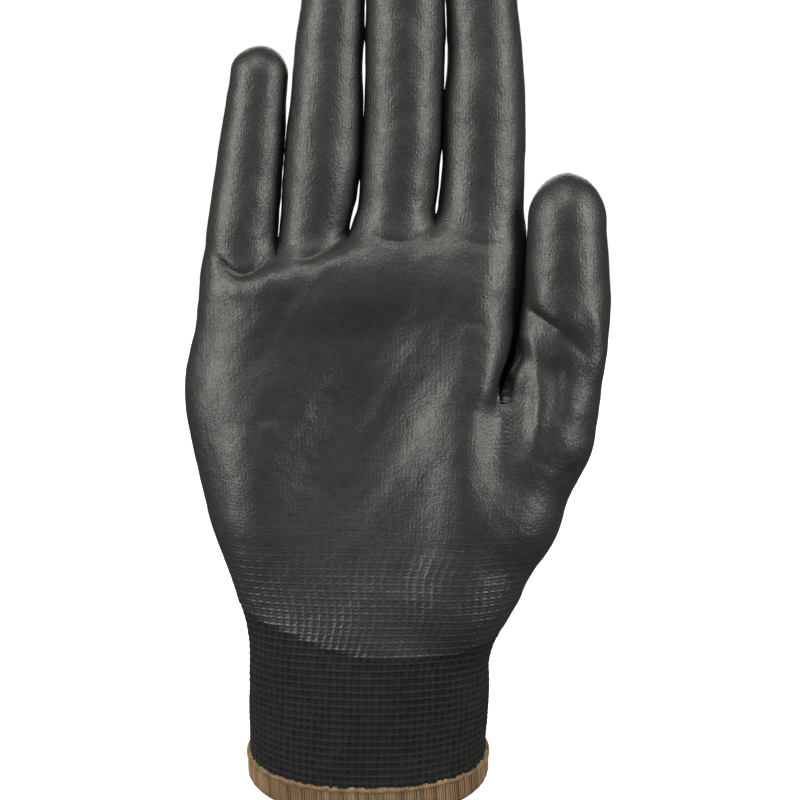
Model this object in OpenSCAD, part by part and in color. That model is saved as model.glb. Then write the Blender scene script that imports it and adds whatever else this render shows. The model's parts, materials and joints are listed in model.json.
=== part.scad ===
// Cut resistant work glove, right hand, palm side towards -Y, fingers along +Z, thumb towards +X.
// Origin: centre of the cuff opening. Millimetres. Hollow knit liner with a thin palm coating.

/* [Hand] */
// Width of the palm at its broadest, without the thumb
palm_w = 93; // [80:1:108]
// Thickness of the palm at the knuckles
knuckle_t = 28; // [24:0.5:34]
// Thickness at the heel of the hand
heel_t = 43; // [34:0.5:50]
// Height of the index finger's root fold above the cuff opening
root_z = 162; // [140:1:180]

/* [Fingers] */
// Index finger, root fold to tip
index_len = 66.9; // [55:0.1:80]
// Middle finger, root fold to tip
middle_len = 79.3; // [65:0.1:92]
// Ring finger, root fold to tip
ring_len = 72.5; // [60:0.1:86]
// Little finger, root fold to tip
little_len = 51.2; // [42:0.1:64]
// Thumb, root fold to tip
thumb_len = 58.5; // [48:0.1:70]
// Outside diameter of the index finger at its root
finger_d = 24.2; // [20:0.1:28]

/* [Cuff] */
// Cuff outside width
cuff_w = 67.6; // [58:0.2:80]
// Cuff outside depth
cuff_d = 43; // [36:0.2:54]
// Height of the wrist fold above the cuff opening
wrist_z = 25.5; // [24:0.5:34]
// Height of the overlocked hem
hem_h = 5.6; // [4:0.1:8]
// Forward slope of the cuff opening, degrees
hem_tilt = 17; // [0:0.5:18]

/* [Fabric] */
// Knit liner thickness
knit_t = 1.2; // [0.9:0.05:2]
// Coating thickness over the knit
coat_t = 0.3; // [0.2:0.05:0.6]
// Lowest point of the coating's lower edge
coat_z = 37; // [36.5:0.5:60]

/* [Bending] */
// Root fold bend, degrees
root_bend = 78; // [60:1:90]
// Middle fold bend, degrees
mid_bend = 85; // [60:1:95]
// End fold bend, degrees
end_bend = 50; // [30:1:60]
// Wrist bend, degrees
wrist_bend = 40; // [30:1:45]
// Thumb root bend, degrees
thumb_bend = 50; // [35:1:55]
// Thumb end bend, degrees
thumb_end_bend = 60; // [40:1:65]

/* [Hidden] */
$fn = 48;

knit_colour = [0.16, 0.16, 0.155];
coat_colour = [0.25, 0.25, 0.245];
hem_colour = [0.55, 0.42, 0.26];
elastic_colour = [0.85, 0.85, 0.82];
inch = 0.01;
seam = 0.03;
hinge_in = 0.42;
k = finger_d / 24.2;
root_bends = [root_bend, mid_bend, end_bend];
thumb_bends = [thumb_bend, thumb_end_bend];

// Each finger: root fold [x, y, z], lean, twist, fold heights, tip height, radii at folds and tip, bends
index_f = [[31.4, 0, root_z], 0.8, 0, [0, 0.314 * index_len, 0.635 * index_len], index_len,
  [12.1 * k, 11.3 * k, 10.7 * k, 10.2 * k], root_bends];
middle_f = [[7.9, 0, root_z + 0.5], 2.6, 0, [0, 0.29 * middle_len, 0.63 * middle_len], middle_len,
  [10.8 * k, 10.6 * k, 10.5 * k, 10.3 * k], root_bends];
ring_f = [[-13.85, 0, root_z - 4], 3.6, 0, [0, 0.303 * ring_len, 0.648 * ring_len], ring_len,
  [10.1 * k, 10.1 * k, 9.6 * k, 9.0 * k], root_bends];
little_f = [[-34.9, 0, root_z - 8.5], 5.6, 0, [0, 0.322 * little_len, 0.615 * little_len], little_len,
  [9.8 * k, 9.4 * k, 8.8 * k, 8.0 * k], root_bends];
thumb_f = [[54.8, -5, root_z - 51], 2, -5, [0, 0.521 * thumb_len], thumb_len,
  [11.4 * k, 11.4 * k, 10.9 * k], thumb_bends];

function zone(f, i) = f[5][i] * (1 - hinge_in) * tan(f[6][i] / 2) + 0.4;
function folds(f) = len(f[3]);
function heights(f) = concat(f[3], [f[4] - f[5][folds(f)]]);
function radius(f, z) = lookup(z, [for (i = [0:folds(f)]) [heights(f)[i], f[5][i]]]);

module place(f) {
  translate(f[0])
    rotate([0, f[1], 0])
      rotate([0, 0, f[2]])
        children();
}

// A straight stretch of tube between two heights
module tube(z1, z2, r1, r2, w) {
  difference() {
    translate([0, 0, z1])
      cylinder(h = z2 - z1, r1 = r1, r2 = r2);
    translate([0, 0, z1 - inch])
      cylinder(h = z2 - z1 + 2 * inch, r1 = r1 - w, r2 = r2 - w);
  }
}

// Half outline of a fingertip: straight sides ending in a quarter circle
module tip_outline(z1, z2, r1, r2) {
  intersection() {
    union() {
      polygon([[0, z1], [r1, z1], [r2, z2], [0, z2]]);
      translate([0, z2])
        circle(r = r2);
    }
    square([20, 100]);
  }
}

// A closed fingertip shell of thickness w
module tip_shell(z1, z2, r1, r2, w) {
  rotate_extrude()
    difference() {
      tip_outline(z1, z2, r1, r2);
      tip_outline(z1 - inch, z2, r1 - w, r2 - w);
    }
}

// The fold sleeve that takes up a bend
module fold(f, i) {
  z1 = f[3][i] - zone(f, i);
  z2 = f[3][i] + zone(f, i);
  place(f)
    tube(z1, z2, radius(f, z1), radius(f, z2), knit_t + coat_t);
}

module seg_liner(f, i) {
  z1 = f[3][i] + zone(f, i);
  z2 = f[3][i + 1] - zone(f, i + 1);
  place(f)
    tube(z1, z2, radius(f, z1) - coat_t, radius(f, z2) - coat_t, knit_t);
}

// The coating leaves a strip down the back of the finger bare
module seg_coating(f, i) {
  z1 = f[3][i] + zone(f, i);
  z2 = f[3][i + 1] - zone(f, i + 1);
  place(f)
    difference() {
      tube(z1, z2, radius(f, z1), radius(f, z2), coat_t - inch);
      translate([-20, 5.5, z1 - 1])
        cube([40, 20, z2 - z1 + 2]);
    }
}

module tip_liner(f) {
  n = folds(f);
  z1 = f[3][n - 1] + zone(f, n - 1);
  z2 = f[4] - f[5][n];
  ro = radius(f, z1) - coat_t;
  place(f)
    tip_shell(z1, z2, ro, f[5][n] - coat_t, knit_t);
}

module tip_coating(f) {
  n = folds(f);
  z1 = f[3][n - 1] + zone(f, n - 1);
  z2 = f[4] - f[5][n];
  place(f)
    difference() {
      tip_shell(z1, z2, radius(f, z1), f[5][n], coat_t - inch);
      translate([-20, 5.5, z1 - 1])
        cube([40, 20, z2 - z1 + 1]);
    }
}

// Superellipse outline, a slice of the palm or cuff
function oval(a, b, p) = [for (i = [0:39]) let (t = i * 9)
  [a * sign(cos(t)) * pow(abs(cos(t)), 2 / p), b * sign(sin(t)) * pow(abs(sin(t)), 2 / p)]];

module slice(z, xl, xr, b, g) {
  translate([(xl + xr) / 2, 0, z])
    linear_extrude(height = 0.02)
      polygon(oval((xr - xl) / 2 + g, b + g, 2.35));
}

wrist_r = cuff_d / 2;
fold_half = wrist_r * tan(wrist_bend / 2) + 0.4;
hand_z = wrist_z + fold_half;
palm_l = palm_w - 42;
// Palm slices: height, left edge, right edge, half thickness
palm_s = [[hand_z, -34, 34.6, wrist_r], [49.5, 6 - palm_l * 0.85, 40, heel_t / 2],
  [72.5, 6 - palm_l * 0.985, 42, heel_t * 0.455], [94.5, 1.2 - palm_l * 0.99, 42, heel_t * 0.41],
  [105.5, -palm_l, 42, heel_t * 0.385], [122.5, 1.2 - palm_l, 42.5, knuckle_t * 0.545],
  [136, 3.7 - palm_l, 42.8, knuckle_t * 0.515], [root_z - 15.5, 5.5 - palm_l, 42.6, knuckle_t * 0.45]];
// Heel of the thumb: ball centre and radius
thenar_s = [[[24, -5, 48.5], 16], [[38, -6, 76.5], 15.6], [[47, -6, 93.5], 14.6], [[52.4, -5.4, 99], 12.2]];

module ball(s, g) {
  translate(s[0])
    sphere(r = s[1] + g, $fn = 28);
}

// The end of the hand that a finger's root fold sleeve meets
module stub(f, g, x) {
  hull() {
    place(f)
      translate([0, 0, -18])
        sphere(r = f[5][0] + g, $fn = 32);
    place(f)
      translate([0, 0, -zone(f, 0) - 1 + x - seam])
        cylinder(h = 1, r = f[5][0] + g, $fn = 48);
  }
}

// The web between two fingers
module web(f1, f2, top, g) {
  hull() {
    translate([f1[0][0] - 0.5, 0, top - 9.5])
      sphere(r = 9.5 + g, $fn = 28);
    translate([f2[0][0] - 0.5, 0, top - 9.5])
      sphere(r = 9.5 + g, $fn = 28);
  }
}

// What is past the plane that the thumb's root fold sleeve starts from
module thumb_end(x) {
  place(thumb_f)
    translate([0, 0, -zone(thumb_f, 0) + x - seam])
      cylinder(h = 16, r = 22);
}

// The hand, grown by g, with its open ends run on by x
module hand_form(g, x) {
  for (i = [0:len(palm_s) - 2])
    hull() {
      slice(palm_s[i][0] - (i == 0 ? x : 0), palm_s[i][1], palm_s[i][2], palm_s[i][3], g);
      slice(palm_s[i + 1][0] + (i == len(palm_s) - 2 ? g : 0),
        palm_s[i + 1][1], palm_s[i + 1][2], palm_s[i + 1][3], g);
    }
  intersection() {
    for (i = [0:len(thenar_s) - 2])
      difference() {
        hull() {
          ball(thenar_s[i], g);
          ball(thenar_s[i + 1], g);
        }
        thumb_end(x);
      }
    translate([-50, -50, hand_z - x])
      cube([150, 100, 120]);
  }
  difference() {
    hull() {
      ball(thenar_s[3], g);
      place(thumb_f)
        translate([0, 0, -zone(thumb_f, 0) - 1 + x - seam])
          cylinder(h = 1, r = thumb_f[5][0] + g, $fn = 48);
    }
    thumb_end(x);
  }
  stub(index_f, g, x);
  stub(middle_f, g, x);
  stub(ring_f, g, x);
  stub(little_f, g, x);
  web(little_f, ring_f, root_z - 14.5, g);
  web(ring_f, middle_f, root_z - 10.5, g);
  web(middle_f, index_f, root_z - 7, g);
}

module hand_liner() {
  color(knit_colour)
    render()
      difference() {
        hand_form(-coat_t, 0);
        hand_form(-coat_t - knit_t, 0.5);
      }
}

// Region the palm was dipped in: the front, down to a curved lower edge
module dipped() {
  rotate([90, 0, 0])
    translate([0, 0, -5.5])
      linear_extrude(height = 60)
        polygon(concat([for (i = [0:24]) let (x = -60 + i * 6) [x, coat_z + 16 * pow((x - 12) / 48, 2)]],
          [[90, 220], [-70, 220], [-70, 70]]));
}

module palm_coating() {
  color(coat_colour)
    render()
      difference() {
        intersection() {
          hand_form(0, 0);
          dipped();
        }
        hand_form(-coat_t + 0.05, 0.5);
      }
}

// Cuff tube, grown by g, from z1 to z2
module cuff_tube(z1, z2, g) {
  translate([0, 0, z1])
    linear_extrude(height = z2 - z1)
      polygon(oval(cuff_w / 2 + g, cuff_d / 2 + g, 2.15));
}

// Everything above the sloping plane through height z
module above(z) {
  translate([0, 0, z])
    rotate([hem_tilt, 0, 0])
      translate([-60, -60, 0])
        cube([120, 120, 200]);
}

module hem_overlock() {
  color(hem_colour)
    difference() {
      intersection() {
        cuff_tube(-12, 20, 0.5);
        above(0);
      }
      above(hem_h);
      cuff_tube(-13, 21, -knit_t - 0.6);
      intersection() {
        difference() {
          cuff_tube(-13, 21, 0);
          cuff_tube(-14, 22, -knit_t);
        }
        above(0.6);
      }
    }
}

module cuff_knit() {
  color(knit_colour)
    intersection() {
      difference() {
        cuff_tube(-12, wrist_z - fold_half, 0);
        cuff_tube(-13, wrist_z, -knit_t);
      }
      above(0.6);
    }
}

// Elastic courses laid inside the cuff knit
module cuff_elastic() {
  color(elastic_colour)
    for (i = [0:2])
      difference() {
        cuff_tube(12.4 + 1.8 * i, 13 + 1.8 * i, -knit_t);
        cuff_tube(11.4 + 1.8 * i, 14 + 1.8 * i, -knit_t - 0.5);
      }
}

module wrist_knit() {
  color(knit_colour)
    difference() {
      cuff_tube(wrist_z - fold_half, wrist_z + fold_half, 0);
      cuff_tube(wrist_z - fold_half - 1, wrist_z + fold_half + 1, -knit_t);
    }
}

module index_root_fold() color(coat_colour) fold(index_f, 0);
module index_base_liner() color(knit_colour) seg_liner(index_f, 0);
module index_base_coating() color(coat_colour) seg_coating(index_f, 0);
module index_mid_fold() color(coat_colour) fold(index_f, 1);
module index_mid_liner() color(knit_colour) seg_liner(index_f, 1);
module index_mid_coating() color(coat_colour) seg_coating(index_f, 1);
module index_end_fold() color(coat_colour) fold(index_f, 2);
module index_tip_liner() color(knit_colour) tip_liner(index_f);
module index_tip_coating() color(coat_colour) tip_coating(index_f);
module middle_root_fold() color(coat_colour) fold(middle_f, 0);
module middle_base_liner() color(knit_colour) seg_liner(middle_f, 0);
module middle_base_coating() color(coat_colour) seg_coating(middle_f, 0);
module middle_mid_fold() color(coat_colour) fold(middle_f, 1);
module middle_mid_liner() color(knit_colour) seg_liner(middle_f, 1);
module middle_mid_coating() color(coat_colour) seg_coating(middle_f, 1);
module middle_end_fold() color(coat_colour) fold(middle_f, 2);
module middle_tip_liner() color(knit_colour) tip_liner(middle_f);
module middle_tip_coating() color(coat_colour) tip_coating(middle_f);
module ring_root_fold() color(coat_colour) fold(ring_f, 0);
module ring_base_liner() color(knit_colour) seg_liner(ring_f, 0);
module ring_base_coating() color(coat_colour) seg_coating(ring_f, 0);
module ring_mid_fold() color(coat_colour) fold(ring_f, 1);
module ring_mid_liner() color(knit_colour) seg_liner(ring_f, 1);
module ring_mid_coating() color(coat_colour) seg_coating(ring_f, 1);
module ring_end_fold() color(coat_colour) fold(ring_f, 2);
module ring_tip_liner() color(knit_colour) tip_liner(ring_f);
module ring_tip_coating() color(coat_colour) tip_coating(ring_f);
module little_root_fold() color(coat_colour) fold(little_f, 0);
module little_base_liner() color(knit_colour) seg_liner(little_f, 0);
module little_base_coating() color(coat_colour) seg_coating(little_f, 0);
module little_mid_fold() color(coat_colour) fold(little_f, 1);
module little_mid_liner() color(knit_colour) seg_liner(little_f, 1);
module little_mid_coating() color(coat_colour) seg_coating(little_f, 1);
module little_end_fold() color(coat_colour) fold(little_f, 2);
module little_tip_liner() color(knit_colour) tip_liner(little_f);
module little_tip_coating() color(coat_colour) tip_coating(little_f);
module thumb_root_fold() color(coat_colour) fold(thumb_f, 0);
module thumb_base_liner() color(knit_colour) seg_liner(thumb_f, 0);
module thumb_base_coating() color(coat_colour) seg_coating(thumb_f, 0);
module thumb_end_fold() color(coat_colour) fold(thumb_f, 1);
module thumb_tip_liner() color(knit_colour) tip_liner(thumb_f);
module thumb_tip_coating() color(coat_colour) tip_coating(thumb_f);

hem_overlock();
cuff_knit();
cuff_elastic();
wrist_knit();
hand_liner();
palm_coating();
index_root_fold();
index_base_liner();
index_base_coating();
index_mid_fold();
index_mid_liner();
index_mid_coating();
index_end_fold();
index_tip_liner();
index_tip_coating();
middle_root_fold();
middle_base_liner();
middle_base_coating();
middle_mid_fold();
middle_mid_liner();
middle_mid_coating();
middle_end_fold();
middle_tip_liner();
middle_tip_coating();
ring_root_fold();
ring_base_liner();
ring_base_coating();
ring_mid_fold();
ring_mid_liner();
ring_mid_coating();
ring_end_fold();
ring_tip_liner();
ring_tip_coating();
little_root_fold();
little_base_liner();
little_base_coating();
little_mid_fold();
little_mid_liner();
little_mid_coating();
little_end_fold();
little_tip_liner();
little_tip_coating();
thumb_root_fold();
thumb_base_liner();
thumb_base_coating();
thumb_end_fold();
thumb_tip_liner();
thumb_tip_coating();
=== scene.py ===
import functools
import json
import math

import bpy
import numpy as np
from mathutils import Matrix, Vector


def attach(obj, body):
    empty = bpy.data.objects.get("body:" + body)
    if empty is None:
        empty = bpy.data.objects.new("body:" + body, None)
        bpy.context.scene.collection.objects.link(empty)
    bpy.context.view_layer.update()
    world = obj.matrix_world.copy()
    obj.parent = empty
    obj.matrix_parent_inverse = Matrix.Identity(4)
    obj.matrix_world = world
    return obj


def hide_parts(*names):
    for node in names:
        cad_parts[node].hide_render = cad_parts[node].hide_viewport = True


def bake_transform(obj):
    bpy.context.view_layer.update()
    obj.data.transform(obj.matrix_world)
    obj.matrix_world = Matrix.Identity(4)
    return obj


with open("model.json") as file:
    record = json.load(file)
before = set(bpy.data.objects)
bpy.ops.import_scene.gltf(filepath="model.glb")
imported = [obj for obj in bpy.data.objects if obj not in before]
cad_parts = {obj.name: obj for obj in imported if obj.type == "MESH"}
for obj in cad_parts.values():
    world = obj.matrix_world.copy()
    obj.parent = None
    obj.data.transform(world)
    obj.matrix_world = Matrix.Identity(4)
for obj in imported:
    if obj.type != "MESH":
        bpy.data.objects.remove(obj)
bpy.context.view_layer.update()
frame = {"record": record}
joints = {j["name"]: j for j in frame["record"]["behaviour"]["joints"]}
MM = 0.001
COAT = 0.3  # the film's thickness, mm
KNIT = 1.2  # the knit's thickness, mm
COURSE = 2.0  # height of one course of the knit, mm
TILT = math.tan(math.radians(17))  # how much the cuff's opening leans
CUFF_TOP, WRIST_TOP, SEAM = 14.2, 36.8, 70.0  # heights where pieces of cloth meet, mm


# ---------------------------------------------------------------- small maths
def ss(a, b, x):
    """Smooth step: 0 at a, 1 at b."""
    t = np.clip((x - a) / (b - a), 0.0, 1.0)
    return t * t * (3 - 2 * t)


def smin(a, b, k):
    """The lower of two, melted together over k."""
    h = np.maximum(k - np.abs(a - b), 0.0) / k
    return np.minimum(a, b) - h * h * k * 0.25


def smax(a, b, k):
    return -smin(-a, -b, k)


def hermite(t, h, a, b, ma, mb):
    """Cubic from a to b over a step h, with slopes ma and mb at its ends; t runs from 0 to 1."""
    return (
        (2 * t**3 - 3 * t**2 + 1) * a
        + (t**3 - 2 * t**2 + t) * h * ma
        + (3 * t**2 - 2 * t**3) * b
        + (t**3 - t**2) * h * mb
    )


def curve(x, xs, ys):
    """Smooth curve through points, flat beyond the ends."""
    xs = np.asarray(xs, float)
    ys = np.asarray(ys, float)
    m = np.gradient(ys, xs)
    x = np.clip(x, xs[0], xs[-1])
    i = np.clip(np.searchsorted(xs, x, side="right") - 1, 0, len(xs) - 2)
    h = xs[i + 1] - xs[i]
    return hermite((x - xs[i]) / h, h, ys[i], ys[i + 1], m[i], m[i + 1])


def lattice(ix, iy, iz, seed):
    """A scrambled value, -1 to 1, that is always the same for a grid point."""
    n = (ix * 374761393 + iy * 668265263 + iz * 1274126177 + seed * 974634777) & 0xFFFFFFFF
    n = ((n ^ (n >> 13)) * 1103515245) & 0xFFFFFFFF
    n = ((n ^ (n >> 15)) * 2246822519) & 0xFFFFFFFF
    return ((n ^ (n >> 16)) & 0xFFFFFF) / float(0xFFFFFF) * 2 - 1


def noise(p, scale, seed):
    """Smooth value noise, -1 to 1; scale is one number or one per axis, in mm."""
    q = p / np.asarray(scale, float)
    i = np.floor(q).astype(np.int64)
    f = q - i
    f = f * f * (3 - 2 * f)
    out = 0.0
    for a in (0, 1):
        for b in (0, 1):
            for c in (0, 1):
                w = (
                    (f[..., 0] if a else 1 - f[..., 0])
                    * (f[..., 1] if b else 1 - f[..., 1])
                    * (f[..., 2] if c else 1 - f[..., 2])
                )
                out = out + w * lattice(i[..., 0] + a, i[..., 1] + b, i[..., 2] + c, seed)
    return out


# ---------------------------------------------------------------- the hand's shape, mm
# height, left side, right side, depth of the palm side, depth of the back
ZS, XL, XR, BF, BB = np.array([
    (10, -34.0, 33.7, 21.5, 21.5),
    (25, -34.0, 34.4, 21.5, 21.5),
    (34, -34.2, 34.5, 21.4, 21.2),
    (42, -34.8, 35.1, 21.0, 20.7),
    (50, -36.8, 39.3, 20.3, 19.8),
    (61, -40.3, 39.6, 18.9, 18.5),
    (72, -44.2, 39.2, 17.6, 17.3),
    (83, -46.8, 38.6, 16.5, 16.4),
    (94.5, -49.3, 38.3, 15.7, 15.6),
    (105.5, -51.0, 38.5, 15.1, 15.0),
    (113, -50.9, 39.4, 14.9, 14.7),
    (122.5, -49.1, 41.6, 14.7, 14.3),
    (134, -46.2, 42.8, 14.2, 13.7),
    (145, -44.7, 43.1, 13.2, 12.7),
    (156, -44.2, 43.2, 11.6, 11.4),
    (170, -44.0, 43.2, 11.0, 11.0),
]).T
# where the palm ends under the fingers: sideways place and height
PALM_TOP = np.array([
    (-46, 146), (-36, 146.5), (-25, 147.5), (-14, 150), (-4, 151.5),
    (8, 154), (19, 155.6), (32, 156.4), (45, 156.4),
]).T


def gauss(x, z, cx, cz, sx, sz, turn=0.0):
    """A bump of height 1 at (cx, cz), sx by sz wide and turned by some degrees."""
    c, s = math.cos(math.radians(turn)), math.sin(math.radians(turn))
    u = (x - cx) * c + (z - cz) * s
    v = -(x - cx) * s + (z - cz) * c
    return np.exp(-0.5 * ((u / sx) ** 2 + (v / sz) ** 2))


def mounds(x, z):
    """How far the palm side stands out beyond the plain oval."""
    return (
        8.9 * gauss(x, z, 28.5, 90, 9.2, 27, 4)
        + 4.4 * gauss(x, z, -33, 84, 10, 27, -6)
        - 3.6 * gauss(x, z, -5, 100, 15, 28, -14)
        + 1.7 * gauss(x, z, 0, 141, 40, 8)
        + 2.3 * gauss(x, z, 33, 128, 5, 20)
        - 0.7 * gauss(x, z, 2, 127, 34, 6, 8)
    )


def palm(p):
    """Distance to the flattened oval of palm and cuff, below 0 inside it."""
    x, y, z = p[..., 0], p[..., 1], p[..., 2]
    xl, xr = curve(z, ZS, XL), curve(z, ZS, XR)
    bf, bb = curve(z, ZS, BF), curve(z, ZS, BB)
    c, a = (xl + xr) / 2, (xr - xl) / 2
    y = y + mounds(x, z) * ss(1.0, -9.0, y)
    b = np.where(y < 0, bf, bb)
    power = 2.15 + 0.25 * ss(40, 90, z)
    u, v = np.abs((x - c) / a) + 1e-9, np.abs(y / b) + 1e-9
    g = (u**power + v**power) ** (1 / power)
    gx, gy = (u / g) ** (power - 1) / a, (v / g) ** (power - 1) / b
    d = (g - 1) / np.sqrt(gx * gx + gy * gy)
    return smax(d, (z - curve(x, *PALM_TOP)) * 0.92, 9.0)


def cone(p, a, b, ra, rb):
    """Distance to a round rod from a to b whose radius goes from ra to rb."""
    a, b = np.asarray(a, float), np.asarray(b, float)
    ab = b - a
    t = np.clip(((p - a) @ ab) / (ab @ ab), 0, 1)
    return np.linalg.norm(p - (a + t[..., None] * ab), axis=-1) - (ra + (rb - ra) * t)


# centres and radii of the heel of the thumb and of the web on its inner side
THENAR = [
    ((24.5, -4, 51), 14.9), ((37.2, -2.8, 75.5), 15.8), ((46.0, -2.6, 93), 13.8), ((52.0, -4.2, 106), 11.4),
]
WEB = [((43.4, -5.6, 96), 8.6), ((43.8, -5.2, 114), 7.6), ((47.6, -5.0, 136), 4.6)]
THUMB_AXIS = np.array([math.sin(math.radians(2)), 0, math.cos(math.radians(2))])
THUMB_END = np.array([54.7, -5.5, 107.5])


def chain(p, knots, soft):
    """Rods from each knot to the next, melted together over `soft` mm."""
    rods = [cone(p, a, b, ra, rb) for (a, ra), (b, rb) in zip(knots, knots[1:])]
    return functools.reduce(lambda d, e: smin(d, e, soft), rods)


def thenar(p):
    return chain(p, THENAR, 6.0)


# each digit: heights z, sideways centres c and half widths r at them; then its tip, depth and flatness
DIGITS = {
    "index": dict(
        z=[140, 150, 156, 162, 171.5, 178.5, 190, 201, 207, 218, 230],
        c=[30, 30.4, 31.0, 31.5, 31.75, 32.0, 32.15, 32.25, 31.95, 31.0, 30.3],
        r=[12.5, 12.6, 12.2, 11.8, 11.5, 11.45, 11.3, 10.4, 10.1, 9.9, 9.7],
        tip=228.9, y=0.0, flat=0.92),
    "middle": dict(
        z=[140, 150, 156, 162, 167.3, 171.5, 178.5, 190, 201, 218, 243],
        c=[5.2, 5.7, 7.0, 8.2, 8.85, 9.25, 9.7, 10.2, 10.35, 10.5, 10.3],
        r=[11.0, 11.1, 11.1, 10.75, 10.95, 11.0, 11.1, 11.0, 11.0, 10.9, 10.0],
        tip=241.8, y=-0.6, flat=0.93),
    "ring": dict(
        z=[136, 146, 156, 162, 167.3, 171.5, 178.5, 190, 201, 207, 218, 232],
        c=[-16.0, -15.6, -14.5, -13.4, -12.9, -12.4, -11.85, -11.05, -10.5, -9.95, -9.05, -8.6],
        r=[9.5, 9.5, 9.7, 10.3, 10.6, 10.75, 10.65, 10.1, 9.5, 9.3, 8.8, 8.3],
        tip=230.5, y=-0.2, flat=0.93),
    "little": dict(
        z=[134, 145, 150, 156, 162, 167.3, 171.5, 178.5, 190, 195.5, 201, 206],
        c=[-35.6, -35.2, -34.8, -34.35, -33.65, -33.0, -32.5, -31.65, -30.3, -29.7, -29.2, -28.9],
        r=[10.0, 10.0, 9.95, 9.85, 9.7, 9.5, 9.35, 9.0, 8.4, 8.1, 7.9, 7.7],
        tip=204.5, y=0.0, flat=0.94),
    "thumb": dict(
        z=[98, 105, 111.3, 117, 122.5, 128, 133.7, 139, 145, 150, 156, 162, 170],
        c=[51.6, 52.6, 53.8, 54.6, 55.0, 55.1, 55.05, 54.9, 54.7, 54.7, 54.7, 54.6, 54.5],
        r=[11.2, 11.0, 11.0, 11.1, 11.4, 11.7, 11.95, 12.0, 11.8, 11.4, 10.9, 10.6, 10.4],
        tip=170.2, y=-5.5, flat=0.95),
}
# height of each digit's rounded end
ROUND = {"index": 10.0, "middle": 9.9, "ring": 8.9, "little": 7.9, "thumb": 14.6}


def digit(p, name):
    """Distance to a finger or the thumb, below 0 inside it."""
    g = DIGITS[name]
    zc = g["tip"] - ROUND[name]
    z = np.minimum(p[..., 2], zc)
    c, r = curve(z, g["z"], g["c"]), curve(z, g["z"], g["r"])
    dx = p[..., 0] - c
    dy = (p[..., 1] - g["y"]) / g["flat"]
    over = np.maximum(p[..., 2] - zc, 0.0) * (r / ROUND[name]) + np.maximum(g["z"][0] - p[..., 2], 0.0)
    return np.sqrt(dx * dx + dy * dy + over * over) - r


def body_part(p):
    """Palm and heel of the thumb, without the fingers."""
    return smin(palm(p), thenar(p), 9.0)


def thumb_form(p):
    """The thumb with its heel and the web that runs up its inner side."""
    return smin(smin(thenar(p), digit(p, "thumb"), 4.0), chain(p, WEB, 2.0), 3.0)


def thumb_melt(p):
    """How softly the thumb joins the palm: hardly at all above its crotch."""
    return 9.0 - 8.2 * ss(103, 117, p[..., 2])


def with_digit(p, name):
    if name == "thumb":
        return smin(palm(p), thumb_form(p), thumb_melt(p))
    return smin(body_part(p), digit(p, name), 5.0)


def hand(p):
    """The whole hand, with the thumb cut off a little above its root."""
    fingers = functools.reduce(np.minimum, (digit(p, n) for n in ("index", "middle", "ring", "little")))
    thumb = smax(thumb_form(p), (p - THUMB_END) @ THUMB_AXIS - 1.5, 1.5)
    return smin(smin(palm(p), thumb, thumb_melt(p)), fingers, 5.0)


def gradient(fn, p, e=0.05):
    """Direction in which fn grows at points p, and how fast."""
    g = np.empty_like(p)
    for i in range(3):
        q = p.copy()
        q[..., i] += e
        hi = fn(q)
        q[..., i] -= 2 * e
        g[..., i] = hi - fn(q)
    n = np.linalg.norm(g, axis=-1, keepdims=True)
    return g / np.maximum(n, 1e-9), n[..., 0] / (2 * e)


# ---------------------------------------------------------------- folds and creases
def along(p, line):
    """Distance to a line drawn on the palm side, and how far along it, 0 to 1."""
    best = np.full(p.shape[:-1], 1e9)
    where = np.zeros(p.shape[:-1])
    line = np.asarray(line, float)
    for i in range(len(line) - 1):
        a, ab = line[i], line[i + 1] - line[i]
        qx, qz = p[..., 0] - a[0], p[..., 2] - a[1]
        t = np.clip((qx * ab[0] + qz * ab[1]) / (ab @ ab), 0, 1)
        ex, ez = qx - t * ab[0], qz - t * ab[1]
        d = np.hypot(ex, ez)
        near = d < best
        best = np.where(near, d, best)
        where = np.where(near, (i + t) / (len(line) - 1), where)
    return best, where


def smooth_line(points, n=24):
    """n points on a smooth line through a few."""
    pts = np.asarray(points, float)
    t = np.linspace(0, 1, len(pts))
    u = np.linspace(0, 1, n)
    return np.stack([curve(u, t, pts[:, 0]), curve(u, t, pts[:, 1])], 1)


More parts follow.
